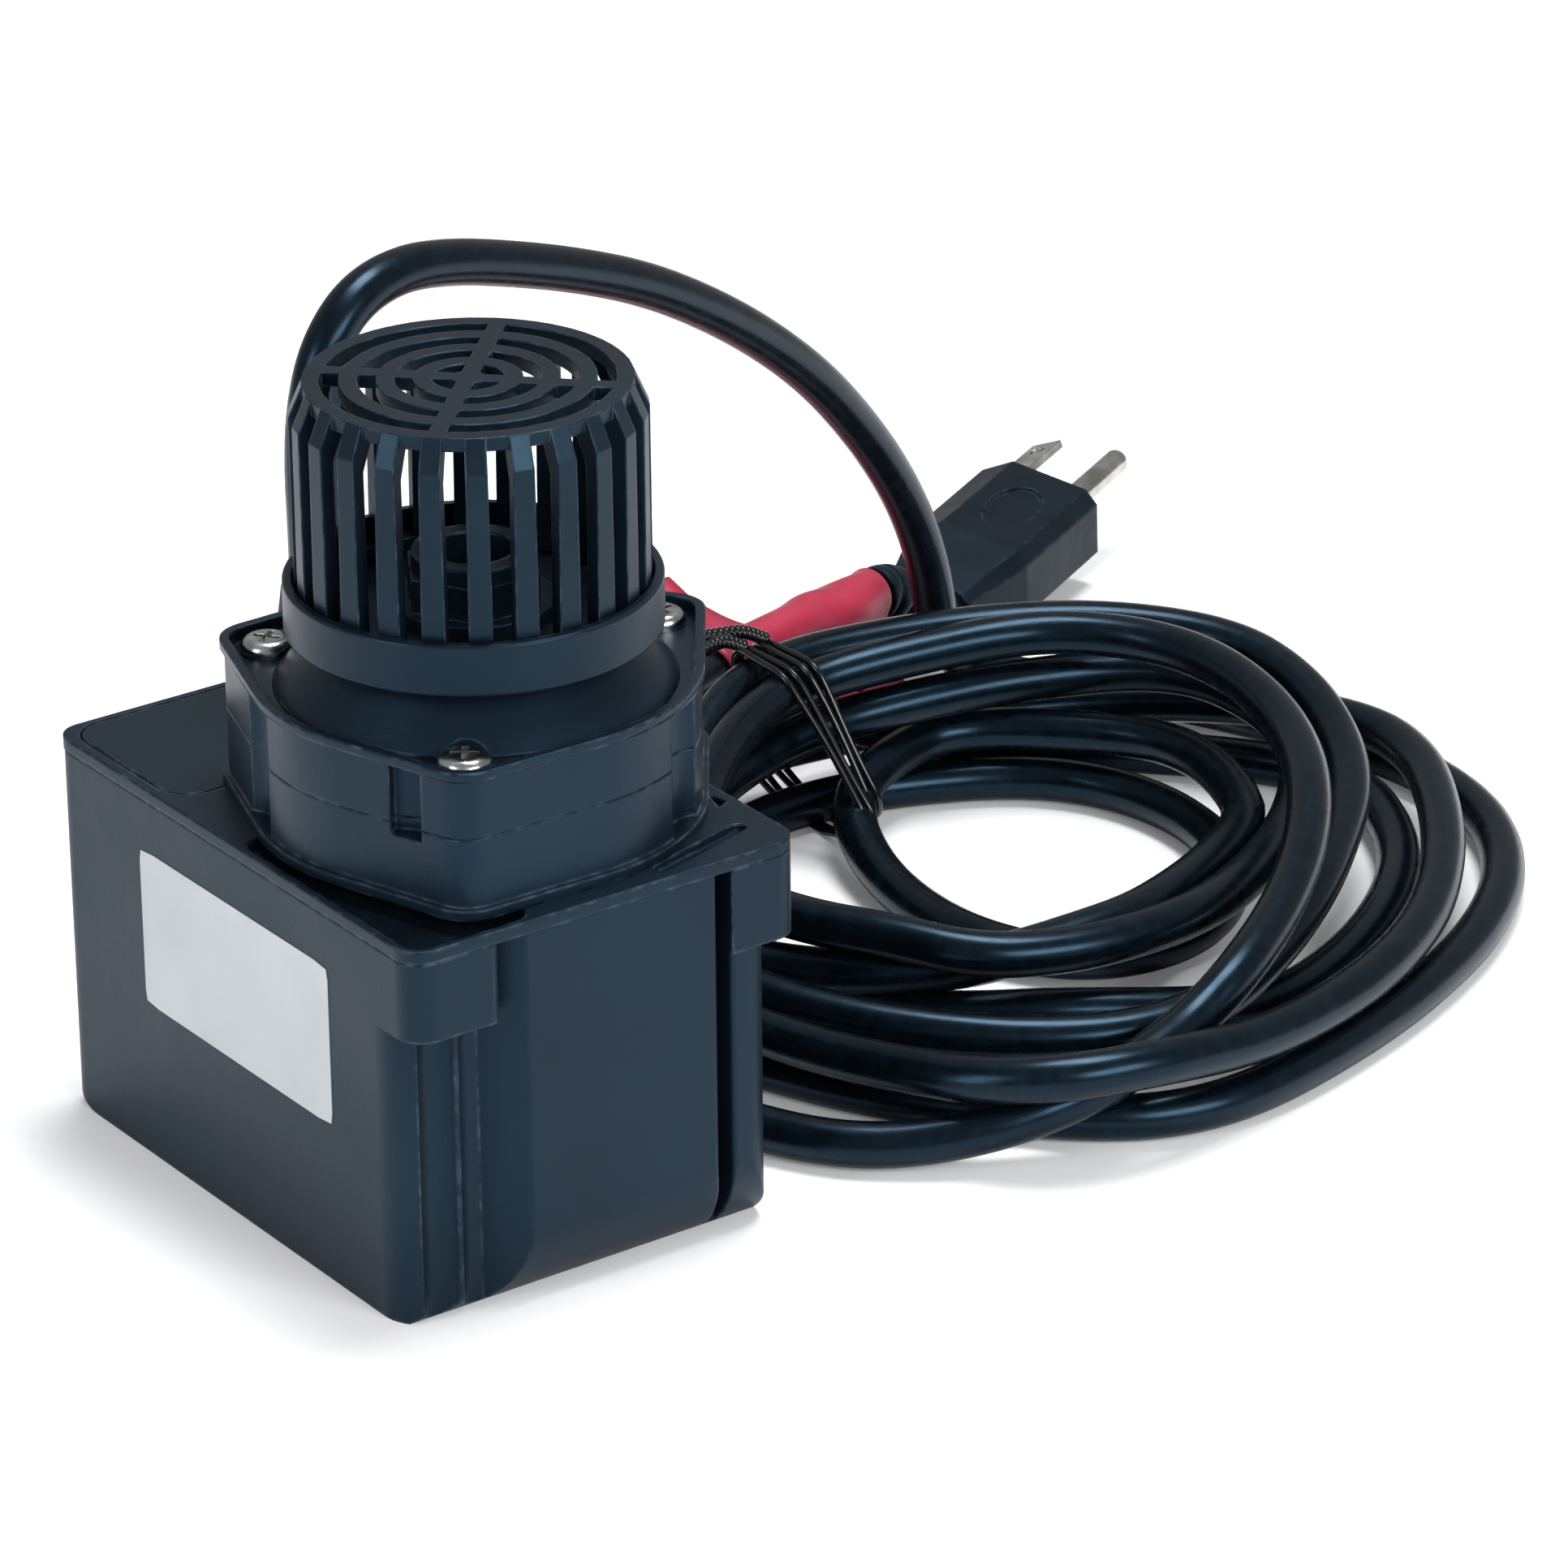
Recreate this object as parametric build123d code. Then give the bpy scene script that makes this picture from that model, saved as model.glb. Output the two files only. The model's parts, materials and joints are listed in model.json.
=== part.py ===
"""Submersible condensate pump: motor tub, volute, caged strainer, mains cord with its coil and plug."""
from build123d import *
import math
import os

os.makedirs("parts", exist_ok=True)

# ---- driving dimensions, mm; +Z up, origin at the middle of the tub's footprint ----

# motor tub
body_w = 72.0            # across X, over the cover plate
body_l = 104.0           # along Y, over the cover plate
tub_h = 63.0             # tub rim above the floor
wall = 2.4
floor_t = 3.0
corner_r = 4.5
wing = 5.5               # the right wall stands in from the plate's edge
skin = 0.3               # front panel and back wall stand in from the plate's edge
core_in = 6.0            # flute bottoms stand in from the plate's edge
column_in = 3.5          # front of the near corner column
column_r = 7.0
panel_x0 = -15.2         # raised front panel
panel_x1 = 20.0
groove_w = 2.7           # groove between the panel and the right column
flute_r = 3.4
flute_x = (-29.8, -22.6)
ridge_x = -25.6
toe_h = 12.3             # height where the front starts to curve under
toe_in = 5.8             # how far the front has curved under at the floor
heel_r = 8.0
lug_h = 13.2
lug_w = 16.4
ear_w = 13.3
ear_l = 16.0

# cover plate, rear lid and the open pool of potting compound
plate_t = 2.1
rim_w = 1.25
pool_y1 = -2.0
pool_x1 = -13.0
pool_drop = 1.2
lid_x0 = -34.2
lid_x1 = 31.5
lid_y0 = 17.2
lid_y1 = 50.8
lid_r = 6.0
lid_t = 1.5
lid_gap = 0.35
slot_l = 21.0
slot_w = 2.6
slot_at = (21.2, -45.8)
slot_turn = 15.3
slot_deep = 1.2
pocket_pts = ((33.4, -30.8), (34.3, -34.4), (32.0, -35.6))

# pump axis and motor
pump_x = 2.7
pump_y = -12.5
can_r = 13.4
can_t = 1.2
can_z0 = 20.0
can_flange_r = 19.0
can_flange_t = 2.0
can_floor = 1.5
stack_w = 50.0
stack_z0 = 22.0
stack_h = 20.0
stack_front = 20.0       # lamination edge ahead of the axis
stack_back = 53.5        # lamination edge behind the axis
stack_gap = 0.4          # round the rotor can
window_w = 30.0
window_y = (22.0, 41.5)  # coil window, measured back from the axis
bobbin_l = 27.0
bobbin_t = 1.2
bobbin_fit = 0.3
winding_t = 6.2
magnet_r = 11.5
magnet_z = (29.0, 58.0)
shaft_r = 2.0
shaft_fit = 0.03
bush_r = 4.6
bush_l = 5.0
seal_r = 0.9

# volute
round_r = 34.7           # wall radius
lobe_out = 35.5          # screw lobe centre from the axis
lobe_r = 5.8
lobe_turns = (233.5, 126.5, 0.0)
foot_t = 1.7
foot_lip = 1.0
base_h = 13.0            # volute base, up to the parting line
cover_h = 9.7            # parting line to the underside of the lip
lip_t = 1.5
lip_out = 0.7
lip_w = 1.6
dish_deep = 2.3
dome_r = 31.5
dome_top_r = 24.0
dome_h = 8.6
chamber_r = 26.0
chamber_drift = 2.0      # the chamber opens out towards the discharge
chamber_floor = 4.6
roof_t = 2.4
recess_turns = (161.0, 303.0)
recess_r = 6.0
recess_deep = 2.6
notch_turn = 219.5
notch_w = 5.6
notch_deep = 1.5
notch_below = 2.0        # below the parting line
neck_r = 9.5
neck_bore = 6.5
neck_z1 = 108.5
throat_r = 8.0

# impeller
impeller_r = 20.5
impeller_t = 1.8
impeller_lift = 1.4      # clear of the chamber floor
vane_h = 7.0
vane_t = 1.6
vane_count = 6
hub_r = 5.0

# screws
screw_out = 34.5
head_r = 4.25
head_h = 2.5
shank_r = 1.5
shank_l = 16.0
hole_fit = 0.3
cross_w = 1.0
cross_l = 4.4
cross_deep = 1.3

# discharge
spout_x = 21.0           # to the right of the axis
spout_in = 22.0          # inner end, behind the axis
boss_r = 9.2
boss_out = 35.0          # boss end face, behind the axis
spout_r = 6.7
spout_bore = 4.3
collar_r = 8.6
collar_t = 3.0
thread_l = 13.0

# strainer
cup_z0 = 96.2
cup_r = 29.4
cup_t = 1.5
cup_floor_t = 1.8
cup_h = 8.4
cage_r = 27.5
cage_top = 136.5
cage_lift = 0.2
bar_count = 24
bar_w0 = 3.8             # at the foot
bar_w1 = 3.2             # at the top
bar_t = 2.3
shoulder_r = 5.0
foot_ring_h = 2.6
grate_t = 2.2
grate_rings = ((22.6, 25.3), (16.8, 19.7), (11.2, 14.0), (5.5, 8.4))
grate_hub = 2.6
grate_bar_w = 2.8
cage_turn = -1.2
grate_turn = 46.0
nut_r = 12.6
nut_flange_t = 2.4
nut_hex_r = 11.4
nut_h = 8.0
nut_fit = 0.1

# cord, with its points chosen by hand
cord_r = 3.85
gland_at = (4.5, 37.0)
gland_r0 = 8.0
gland_r1 = 5.2
gland_h = 20.0
coil_outer = ((42.0, -30.0), (62.0, -58.0), (97.0, -73.0), (137.0, -67.0), (177.0, -53.0), (205.0, -30.0),
              (224.0, 5.0), (216.0, 40.0), (190.0, 68.0), (158.0, 82.0), (121.0, 79.0), (80.0, 72.0),
              (50.0, 45.0), (38.0, 8.0))
coil_inner = ((84.0, -12.0), (97.0, -30.0), (125.0, -34.0), (150.0, -22.0), (168.0, -2.0), (176.0, 20.0),
              (172.0, 44.0), (155.0, 57.0), (121.0, 61.5), (98.0, 52.0), (82.0, 30.0), (78.0, 8.0))
coil_upper = ((60.0, 0.0), (75.0, -30.0), (100.0, -48.0), (130.0, -52.0), (160.0, -38.0), (184.0, -14.0),
              (198.0, 14.0), (197.0, 42.0), (186.0, 65.0), (163.0, 80.4), (121.0, 78.4), (85.0, 70.0),
              (62.0, 45.0), (55.0, 20.0))
coil_hole = (126.0, 14.0)
coil_drawn = 0.025       # the upper turns leave a slightly wider hole
coil_z0 = 2.6
coil_step = 19.0         # top of the wide lower turns
coil_z1 = 33.0
coil_edge_r = 6.0
tie_x = (118.0, 124.0)
tie_y = (59.2, 80.7)     # inner and outer side of the loops
tie_r = 0.9
tie_fit = 0.35
tag_t = 0.5
tag_fit = 0.6            # round the cord
tag_loop_l = 22.0
tag_pts = ((160.5, 61.5), (168.0, 80.0), (172.0, 104.0), (175.0, 127.0), (162.0, 141.0), (160.5, 162.5), (131.0, 170.0),
           (122.0, 139.0), (141.0, 125.0), (146.0, 104.0), (147.0, 84.0), (150.0, 67.0))

# plug
plug_rear = (182.8, 110.9, 9.7)
plug_turn = 26.0
plug_tilt = 3.0          # nose up
relief_r0 = 4.8
relief_r1 = 7.2
relief_rings = 5
relief_pull = 7.0        # how far the boot runs straight at either end before it bends
grip_l = 16.5
grip_scale = 0.68        # rear face against the full section
block_l = 29.5
block_pts = ((-9.7, 7.0), (5.5, 10.0), (12.0, 7.0), (12.0, -3.0), (5.5, -10.0), (-7.5, -10.0), (-12.0, -5.5),
             (-12.0, 4.3))
pin_at = (-6.5, 4.0)     # from the middle of the section
pin_roll = -21.7         # blades and pin are turned about the pin
oval_l = 17.0
oval_w = 9.0
oval_deep = 0.5
blade_w = 6.35
blade_t = 1.5
blade_l = 17.5
blade_gap = 12.7
blade_hole_r = 1.6
pin_r = 2.4
pin_l = 21.0
pin_drop = 11.9

# ---- places worked out from them ----
left = -body_w / 2
right = body_w / 2 - wing
front = -body_l / 2
back = body_l / 2
plate_z = tub_h + plate_t
part_z = plate_z + base_h
lip_z = part_z + cover_h
dish_z = lip_z + lip_t - dish_deep
rim_z = lip_z + lip_t
axis = Pos(pump_x, pump_y, 0)
magnet_h = magnet_z[1] - magnet_z[0]
chamber_z = plate_z + chamber_floor


def write(name, shape):
    """Write one sub-part to its own STEP file."""
    export_step(shape, "parts/" + name + ".step")


def slab(sketch, z0, z1):
    """Extrude a sketch from z0 up to z1."""
    return extrude(Pos(0, 0, z0) * sketch, z1 - z0)


def block(x0, x1, y0, y1, z0, z1):
    """Box between the given limits."""
    return Pos((x0 + x1) / 2, (y0 + y1) / 2, (z0 + z1) / 2) * Box(x1 - x0, y1 - y0, z1 - z0)


def rod(r, z0, z1):
    """Upright cylinder."""
    return Pos(0, 0, (z0 + z1) / 2) * Cylinder(r, z1 - z0)


def tube(r1, r0, z0, z1):
    """Upright tube."""
    return rod(r1, z0, z1) - rod(r0, z0 - 1, z1 + 1)


def panel(x0, x1, y0, y1, r):
    """Rounded rectangle between the given limits."""
    return Pos((x0 + x1) / 2, (y0 + y1) / 2) * RectangleRounded(x1 - x0, y1 - y0, r)


def round_corners(face, corners, r):
    """Round the named corners of a face."""
    near = [min(face.vertices(), key=lambda v: math.dist((v.X, v.Y), c)) for c in corners]
    return fillet(near, r)


# ---- motor tub ----

def tub_plan():
    """Outline of the tub: raised front panel, two flutes and a corner column left of it, groove right of it."""
    panel_y = front + skin
    column_y = front + column_in
    core_y = front + core_in
    groove_x1 = panel_x1 + groove_w
    corners = [(left, back - skin), (left, column_y), (ridge_x, column_y), (flute_x[1], core_y),
               (flute_x[1] + flute_r / 2, core_y), (panel_x0, panel_y), (panel_x1, panel_y),
               (panel_x1 + groove_w / 3, core_y), (groove_x1, core_y), (groove_x1, panel_y),
               (right, panel_y), (right, back - skin)]
    face = make_face(Polyline(*corners, close=True))
    face = round_corners(face, [(left, column_y)], column_r)
    face = round_corners(face, [(right, panel_y), (right, back - skin), (left, back - skin)], corner_r)
    face = round_corners(face, [(panel_x0, panel_y), (panel_x1, panel_y), (groove_x1, panel_y)], 0.8)
    for x, y in ((flute_x[0], column_y), (flute_x[1], column_y)):
        face -= Pos(x, y - (flute_r - (core_in - column_in))) * Circle(flute_r)
    return face


def tub_side():
    """Side view of the tub: the front and back curve under at the floor."""
    y0 = front + skin
    y1 = back - skin
    toe_r = (toe_h ** 2 + toe_in ** 2) / (2 * toe_in)
    half = math.asin(toe_h / toe_r) / 2
    middle = (y0 + toe_r * (1 - math.cos(half)), toe_h - toe_r * math.sin(half))
    heel = heel_r * (1 - math.sqrt(0.5))
    lines = [Line((y0, tub_h), (y0, toe_h)),
             ThreePointArc((y0, toe_h), middle, (y0 + toe_in, 0)),
             Line((y0 + toe_in, 0), (y1 - heel_r, 0)),
             ThreePointArc((y1 - heel_r, 0), (y1 - heel, heel), (y1, heel_r)),
             Line((y1, heel_r), (y1, tub_h)),
             Line((y1, tub_h), (y0, tub_h))]
    return make_face(Wire(lines))


def corner_block(x0, x1, y0, y1, z0, outer, inner):
    """Corner lug under the cover plate."""
    face = make_face(Polyline((x0, y0), (x1, y0), (x1, y1), (x0, y1), close=True))
    face = round_corners(face, [outer], corner_r)
    face = round_corners(face, [inner], corner_r / 2)
    return slab(face, z0, tub_h)


def motor_housing():
    envelope = extrude(Plane.YZ.offset(left - 1) * tub_side(), body_w + 2)
    shell = slab(tub_plan(), 0, tub_h) & envelope
    ear_x = body_w / 2 - ear_w
    lug_z = tub_h - lug_h
    shell += corner_block(left, left + lug_w, front, front + lug_w, lug_z, (left, front), (left + lug_w, front))
    shell += corner_block(ear_x, body_w / 2, front, front + ear_l, lug_z - 1, (body_w / 2, front),
                          (body_w / 2, front + ear_l))
    shell += corner_block(ear_x, body_w / 2, back - ear_l, back, lug_z - 1, (body_w / 2, back),
                          (body_w / 2, back - ear_l))
    return shell - slab(cavity_plan(), floor_t, tub_h + 1)


def cavity_plan():
    return panel(left + wall, right - wall, front + core_in + wall, back - skin - wall, corner_r - 1)


# ---- cover plate, rear lid, potting compound ----

def pool_plan():
    """Open pool at the near corner, inside the plate's thin rim."""
    return panel(left + rim_w, pool_x1, front + rim_w, pool_y1, corner_r - rim_w)


def cover_plate():
    plate = slab(RectangleRounded(body_w, body_l, corner_r), tub_h, plate_z)
    plate -= slab(pool_plan(), tub_h - 1, plate_z + 1)
    plate -= axis * rod(can_r + can_t + skin, tub_h - 1, plate_z + 1)
    plate -= slab(panel(lid_x0, lid_x1, lid_y0, lid_y1, lid_r), plate_z - lid_t, plate_z + 1)
    plate -= Pos(gland_at) * rod(cord_r + hole_fit, tub_h - 1, plate_z)
    slot = Pos(slot_at) * Rot(0, 0, slot_turn) * SlotOverall(slot_l, slot_w)
    plate -= slab(slot, plate_z - slot_deep, plate_z + 1)
    plate -= slab(make_face(Polyline(*pocket_pts, close=True)), plate_z - slot_deep, plate_z + 1)
    return plate


def rear_lid():
    lid = slab(panel(lid_x0 + lid_gap, lid_x1 - lid_gap, lid_y0 + lid_gap, lid_y1 - lid_gap, lid_r - lid_gap),
               plate_z - lid_t, plate_z)
    return lid - Pos(gland_at) * rod(cord_r + hole_fit, tub_h, plate_z + 1)


def stack_plan():
    """Lamination outline with the rotor hole and the coil window."""
    sheet = panel(-stack_w / 2, stack_w / 2, -stack_front, stack_back, 2.0)
    sheet -= Circle(can_r + can_t + stack_gap)
    return sheet - panel(-window_w / 2, window_w / 2, window_y[0], window_y[1], 1.0)


def limb():
    """The lamination's back limb, which carries the coil, as (y0, y1) from the axis."""
    return window_y[1], stack_back


def bobbin_tube(grow):
    """Block round the back limb, grown by the given amount."""
    y0, y1 = limb()
    half = bobbin_l / 2
    return block(-half, half, y0 - grow, y1 + grow, stack_z0 - grow, stack_z0 + stack_h + grow)


def coil_bobbin():
    y0, y1 = limb()
    inner = bobbin_fit
    cheek = bobbin_fit + bobbin_t + winding_t
    body = bobbin_tube(inner + bobbin_t)
    for x0 in (-bobbin_l / 2, bobbin_l / 2 - bobbin_t):
        body += block(x0, x0 + bobbin_t, y0 - cheek, y1 + cheek, stack_z0 - cheek, stack_z0 + stack_h + cheek)
    hole = block(-bobbin_l, bobbin_l, y0 - inner, y1 + inner, stack_z0 - inner, stack_z0 + stack_h + inner)
    return axis * (body - hole)


def coil_winding():
    half = bobbin_l / 2 - bobbin_t
    around = bobbin_tube(bobbin_fit + bobbin_t + winding_t) & block(-half, half, 0, body_l, 0, tub_h)
    return axis * (around - bobbin_tube(bobbin_fit + bobbin_t))


def potting_compound():
    """Fills the tub round the motor and rises into the open pool."""
    fill = slab(cavity_plan(), floor_t, tub_h)
    fill += slab(pool_plan(), tub_h, plate_z - pool_drop)
    fill -= axis * rod(can_r + can_t, can_z0, tub_h + plate_t)
    fill -= axis * slab(panel(-stack_w / 2, stack_w / 2, -stack_front, stack_back, 2.0), stack_z0,
                        stack_z0 + stack_h)
    fill -= axis * bobbin_tube(bobbin_fit + bobbin_t + winding_t)
    return fill


# ---- rotor and its can ----

def rotor_can():
    can = rod(can_r + can_t, can_z0, plate_z) + rod(can_flange_r, plate_z, plate_z + can_flange_t)
    can -= rod(can_r, can_z0 + can_floor, plate_z + can_flange_t + 1)
    seat_z = can_z0 + can_floor
    can += tube(bush_r + can_t, bush_r, seat_z, seat_z + bush_l)
    return axis * can


def lower_bush():
    z0 = can_z0 + can_floor
    return axis * tube(bush_r, shaft_r + shaft_fit, z0, z0 + bush_l)


def upper_bush():
    return axis * tube(bush_r, shaft_r + shaft_fit, chamber_z - bush_l, chamber_z)


def rotor_magnet():
    return axis * tube(magnet_r, shaft_r, magnet_z[0], magnet_z[1])


def rotor_shaft():
    return axis * rod(shaft_r, can_z0 + can_floor + 0.1, impeller_z() + vane_h + impeller_t)


def impeller_z():
    return chamber_z + impeller_lift


def impeller():
    """Disc with backward-swept vanes on a hub."""
    z0 = impeller_z()
    wheel = rod(impeller_r, z0, z0 + impeller_t)
    mid_r = (hub_r + impeller_r) / 2
    sweep = 22.0
    tip = (impeller_r * math.cos(math.radians(2 * sweep)), impeller_r * math.sin(math.radians(2 * sweep)))
    bend = (mid_r * math.cos(math.radians(sweep / 2)), mid_r * math.sin(math.radians(sweep / 2)))
    line = ThreePointArc((hub_r - 1, 0), bend, tip)
    vane = slab(trace(line, vane_t), z0, z0 + impeller_t + vane_h) & rod(impeller_r, z0, z0 + 3 * vane_h)
    for turn in range(vane_count):
        wheel += Rot(0, 0, turn * 360 / vane_count) * vane
    wheel += rod(hub_r, z0, z0 + impeller_t + vane_h)
    return axis * (wheel - rod(shaft_r, z0 - 1, z0 + 3 * vane_h))


def can_seal():
    return axis * Pos(0, 0, plate_z + can_flange_t + seal_r) * Torus(can_flange_r - 2 * seal_r, seal_r)


# ---- volute ----

def lobed(grow):
    """Round wall with tangent screw lobes, grown by the given amount."""
    rings = Sketch() + Circle(round_r + grow)
    for turn in lobe_turns:
        a = math.radians(turn)
        rings += Pos(lobe_out * math.cos(a), lobe_out * math.sin(a)) * Circle(lobe_r + grow)
    return make_hull(rings.edges())


def at_screws(shape):
    """Copies of a shape at the screw places."""
    return [Rot(0, 0, turn) * Pos(screw_out, 0, 0) * shape for turn in lobe_turns]


def wall_cuts():
    """Concave recesses beside the lobes, and the key notch over the parting line."""
    cuts = []
    for turn in recess_turns:
        out = round_r + recess_r - recess_deep
        cuts.append(Rot(0, 0, turn) * Pos(out, 0, 0) * rod(recess_r, plate_z + foot_t, lip_z))
    notch = block(round_r + 0.9 - notch_deep, round_r + 8, -notch_w / 2, notch_w / 2, part_z - notch_below, lip_z)
    cuts.append(Rot(0, 0, notch_turn) * notch)
    return cuts


def chamber(z0, z1):
    """Pump chamber: a round room that drifts out towards the discharge."""
    room = rod(chamber_r, z0, z1) + Pos(chamber_drift, chamber_drift, 0) * rod(chamber_r, z0, z1)
    return room


def spout_rod(r, y0, y1):
    """Cylinder along the discharge, measured back from the pump axis."""
    return Pos(spout_x, (y0 + y1) / 2, part_z) * Rot(90, 0, 0) * Cylinder(r, y1 - y0)


def spout_way():
    """The seat of the discharge fitting, and the water way from the chamber to it."""
    return spout_rod(spout_r, spout_in, boss_out + 1) + spout_rod(spout_bore, 0, spout_in)


def volute_base():
    base = slab(lobed(foot_lip), plate_z, plate_z + foot_t) + slab(lobed(0), plate_z, part_z)
    base += spout_rod(boss_r, 0, boss_out) & block(0, body_w, 0, body_l, plate_z + 1, part_z)
    for cut in wall_cuts():
        base -= cut
    base -= chamber(chamber_z, part_z + 1)
    base -= rod(can_flange_r, plate_z - 1, plate_z + can_flange_t)
    ring_z = plate_z + can_flange_t
    base -= tube(can_flange_r - seal_r + 0.1, can_flange_r - 3 * seal_r - 0.1, ring_z - 0.1, ring_z + 2 * seal_r)
    base -= rod(bush_r, plate_z, part_z)
    base -= spout_way()
    for hole in at_screws(rod(shank_r + 0.02, dish_z - shank_l - 1, part_z + 1)):
        base -= hole
    return axis * base


def volute_cover():
    cover = slab(lobed(0), part_z, lip_z) + slab(lobed(lip_out), lip_z, rim_z)
    cover -= slab(lobed(lip_out - lip_w), dish_z, rim_z + 1)
    cover += spout_rod(boss_r, 0, boss_out) & block(0, body_w, 0, body_l, part_z, lip_z)
    for cut in wall_cuts():
        cover -= cut
    cover -= chamber(part_z - 1, dish_z - roof_t)
    cover -= throat()
    cover -= spout_way()
    for hole in at_screws(rod(shank_r + hole_fit, part_z - 1, dish_z + 1)):
        cover -= hole
    return axis * cover


def throat():
    """Hollow over the impeller's eye."""
    h = dome_h - roof_t
    return Pos(0, 0, dish_z - roof_t + h / 2) * Cone(dome_r - 8, throat_r, h)


def volute_dome():
    """Cone over the chamber, standing in the dish, hollowed where the screws go down beside it."""
    dome = Pos(0, 0, dish_z + dome_h / 2) * Cone(dome_r, dome_top_r, dome_h)
    for pocket in at_screws(rod(lobe_r + lip_out - lip_w + hole_fit, dish_z - 1, rim_z + dome_h)):
        dome -= pocket
    dome -= spout_rod(boss_r, 0, boss_out)
    return axis * (dome - throat() - rod(neck_bore, part_z, rim_z + dome_h))


def inlet_neck():
    """Threaded neck standing on the dome, with a shoulder for the cup."""
    neck = rod(neck_r + 3, dish_z + dome_h, cup_z0) + rod(neck_r, dish_z + dome_h, neck_z1)
    return axis * (neck - rod(neck_bore, dish_z, neck_z1 + 1))


def discharge_fitting():
    fitting = spout_rod(spout_r, spout_in, boss_out + collar_t + thread_l)
    fitting += spout_rod(collar_r, boss_out, boss_out + collar_t)
    return axis * (fitting - spout_rod(spout_bore, 0, body_l))


def cover_screw():
    """Pan head screw with a cross recess."""
    head = rod(head_r, 0, head_h)
    head = fillet(head.edges().sort_by(Axis.Z)[-1], head_h * 0.7)
    for turn in (0, 90):
        head -= Rot(0, 0, turn) * block(-cross_l / 2, cross_l / 2, -cross_w / 2, cross_w / 2,
                                        head_h - cross_deep, head_h + 1)
    return head + rod(shank_r, -shank_l, 0.5)


def cover_screws():
    return Compound([axis * screw for screw in at_screws(Pos(0, 0, dish_z) * cover_screw())])


# ---- strainer ----

def strainer_cup():
    cup = tube(cup_r, cup_r - cup_t, cup_z0, cup_z0 + cup_h)
    cup += tube(cup_r - cup_t / 2, neck_r + nut_fit, cup_z0, cup_z0 + cup_floor_t)
    rim = [e for e in cup.edges().filter_by(GeomType.CIRCLE) if e.radius > cup_r - 0.1]
    return axis * fillet(rim, 0.5)


def strainer_nut():
    z0 = cup_z0 + cup_floor_t
    nut = rod(nut_r, z0, z0 + nut_flange_t) + slab(RegularPolygon(nut_hex_r, 6), z0, z0 + nut_h)
    return axis * (nut - rod(neck_r + nut_fit / 2, z0 - 1, z0 + nut_h + 1))


def cage_bar():
    """One bar: upright, then bent over the shoulder into the grate; narrower at the top."""
    z0 = cup_z0 + cup_floor_t + cage_lift
    grate_r = grate_rings[0][1]
    inner = cage_r - bar_t
    path = [Line((cage_r, z0), (cage_r, cage_top - shoulder_r)),
            Line((cage_r, cage_top - shoulder_r), (grate_r, cage_top)),
            Line((grate_r, cage_top), (grate_r - bar_t, cage_top)),
            Line((grate_r - bar_t, cage_top), (grate_r - bar_t, cage_top - grate_t)),
            Line((grate_r - bar_t, cage_top - grate_t), (inner, cage_top - shoulder_r - bar_t)),
            Line((inner, cage_top - shoulder_r - bar_t), (inner, z0)),
            Line((inner, z0), (cage_r, z0))]
    side = extrude(Plane.XZ * make_face(Wire(path)), bar_w0, both=True)
    taper = make_face(Polyline((-bar_w0 / 2, z0), (bar_w0 / 2, z0), (bar_w1 / 2, cage_top),
                               (-bar_w1 / 2, cage_top), close=True))
    return side & extrude(Plane.YZ * taper, cup_r)


def strainer_cage():
    """Ring of tapered bars between a foot ring and a grate of rings on two cross bars."""
    z0 = cup_z0 + cup_floor_t + cage_lift
    cage = tube(cage_r, cage_r - bar_t, z0, z0 + foot_ring_h)
    bar = cage_bar()
    cage = cage.fuse(*[Rot(0, 0, turn * 360 / bar_count) * bar for turn in range(bar_count)])
    grate = Sketch()
    for r0, r1 in grate_rings:
        grate += Circle(r1) - Circle(r0)
    grate += Circle(grate_hub)
    for turn in (grate_turn, grate_turn + 90):
        grate += Rot(0, 0, turn) * Rectangle(2 * grate_rings[0][0] + 1, grate_bar_w)
    cage = cage.fuse(slab(grate, cage_top - grate_t, cage_top))
    return axis * Rot(0, 0, cage_turn) * cage


# ---- cord ----

lead_pts = [(4.5, 37, 85.1), (4.5, 37, 94.5), (4.1, 36.8, 104.5), (4.9, 37.1, 114.5), (8.2, 38.1, 123.7),
            (15.5, 40.2, 130.2), (26, 43.3, 132), (38.5, 46.9, 129.5), (52.5, 51, 124.8), (69, 55.9, 118.5), (86, 60.9, 110.8),
            (102, 65.6, 101.4), (117, 70.2, 90.9), (130.2, 74.1, 79.8), (141.4, 77.6, 68), (150.6, 80.2, 56.3),
            (157.5, 82.2, 44), (162.2, 82.6, 31.8), (164.4, 77.5, 20)]
tail_pts = [(92, 66, 17.8), (102, 77.5, 19), (116, 87.2, 20.5), (141.5, 96.6, 21.2), (166, 105, 19.5)]
tag_at = tuple((p + q) / 2 for p, q in zip(tail_pts[-2], tail_pts[-1]))
tail_turn = math.degrees(math.atan2(tail_pts[-1][1] - tail_pts[-2][1], tail_pts[-1][0] - tail_pts[-2][0]))


def cord_tube(points, name):
    """Round cord along straight runs joined by tangent arcs, each as large as its two runs allow."""
    knots = [Vector(*p) for p in points]
    radii = []
    for a, b, c in zip(knots, knots[1:], knots[2:]):
        turn = math.radians((b - a).get_angle(c - b))
        radii.append(0.45 * min((b - a).length, (c - b).length) / math.tan(turn / 2))
    path = FilletPolyline(*knots, radius=radii)
    start = Plane(origin=path @ 0, z_dir=path % 0)
    solid = sweep(start * Circle(cord_r), path=path)
    length = path.length
    print(name, "length", round(length, 1), "radii", [round(r) for r in radii],
          "volume ratio", round(solid.volume / (math.pi * cord_r ** 2 * length), 4))
    return solid


def cord_gland():
    x, y = gland_at
    gland = Pos(x, y, plate_z + gland_h / 2) * Cone(gland_r0, gland_r1, gland_h)
    return gland + Pos(x, y) * rod(cord_r, tub_h, plate_z + 1)


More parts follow.
